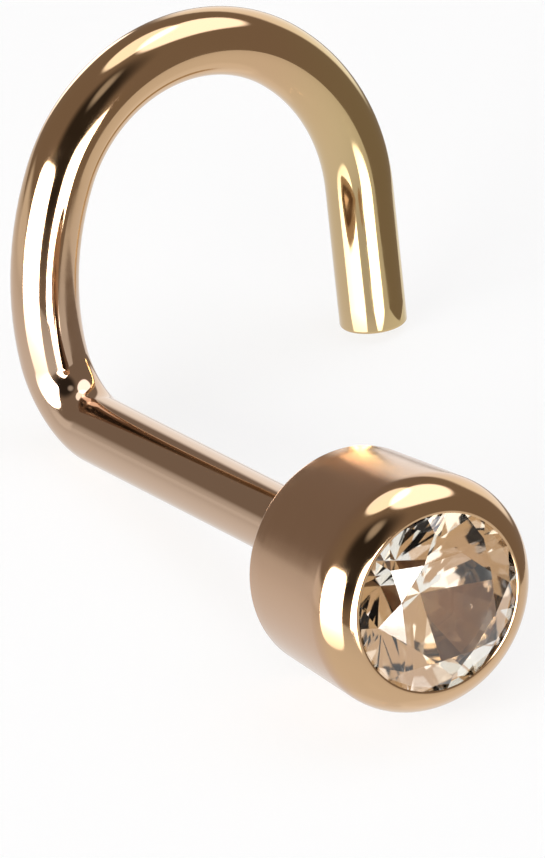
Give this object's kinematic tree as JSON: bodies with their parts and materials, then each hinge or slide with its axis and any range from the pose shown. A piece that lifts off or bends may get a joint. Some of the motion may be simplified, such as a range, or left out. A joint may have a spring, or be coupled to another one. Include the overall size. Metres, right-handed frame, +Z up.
{
  "type": "nose stud",
  "caption": "Gold nose stud: a round clear stone in a tapered bezel cup, on a wire post that bends into an open hook worn inside the nostril.",
  "frame": {"origin": "on the table, under the middle of the stud's box, with the stud lying as it comes to rest by itself: on the back edge of its cup, the corner of its wire and the tip of its tail", "axes": "+Z up; the stone faces -Y, tipped up by about 9 degrees, and the post runs to +Y; the hook's tail is on the +X side"},
  "size_m": [0.006, 0.0094, 0.0046],
  "materials": {
    "gold": "polished rose-yellow gold on the wire and the lip, fine satin on the barrel of the cup",
    "stone": "clear, colourless, faceted round brilliant"
  },
  "bodies": {
    "root": {"setting_and_screw": "gold", "stone": "stone"}
  },
  "joints": []
}
